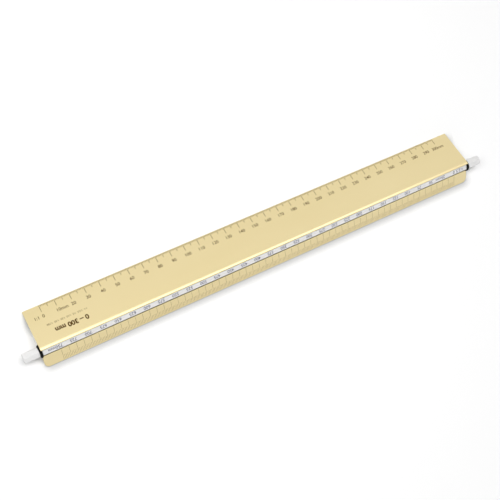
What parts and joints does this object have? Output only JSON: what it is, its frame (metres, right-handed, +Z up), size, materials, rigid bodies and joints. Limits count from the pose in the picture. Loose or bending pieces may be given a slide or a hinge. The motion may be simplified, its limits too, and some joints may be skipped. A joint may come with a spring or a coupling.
{
  "type": "scale ruler",
  "caption": "Scale ruler with a sloping wing, a windowed tube along its crest and a short bevel; a faceted printed barrel turns in the tube to bring another scale to the window.",
  "frame": {"origin": "middle of the ruler's length and width, on the surface that it lies on", "axes": "+X along the ruler to the right, +Y towards the edge of the wide wing, +Z up"},
  "size_m": [0.345, 0.0374, 0.0126],
  "materials": {
    "gold_anodised": "satin, champagne-gold anodised extrusion",
    "white_plastic": "extruded white ABS, slightly glossy",
    "black_rubber": "moulded nitrile rubber",
    "laser_mark": "dark laser marking in the anodised layer, flush with the metal",
    "printed_ink": "thin blue-grey printed ink"
  },
  "bodies": {
    "ruler": {"ruler_body": "gold_anodised"},
    "barrel": {"scale_barrel": "white_plastic", "o_ring_left": "black_rubber", "o_ring_right": "black_rubber"}
  },
  "joints": [
    {"name": "barrel_turn", "type": "hinge", "parent": "ruler", "child": "barrel", "pos_m": [0, -0.0082, 0.00779], "axis": [1, 0, 0], "continuous": true}
  ]
}
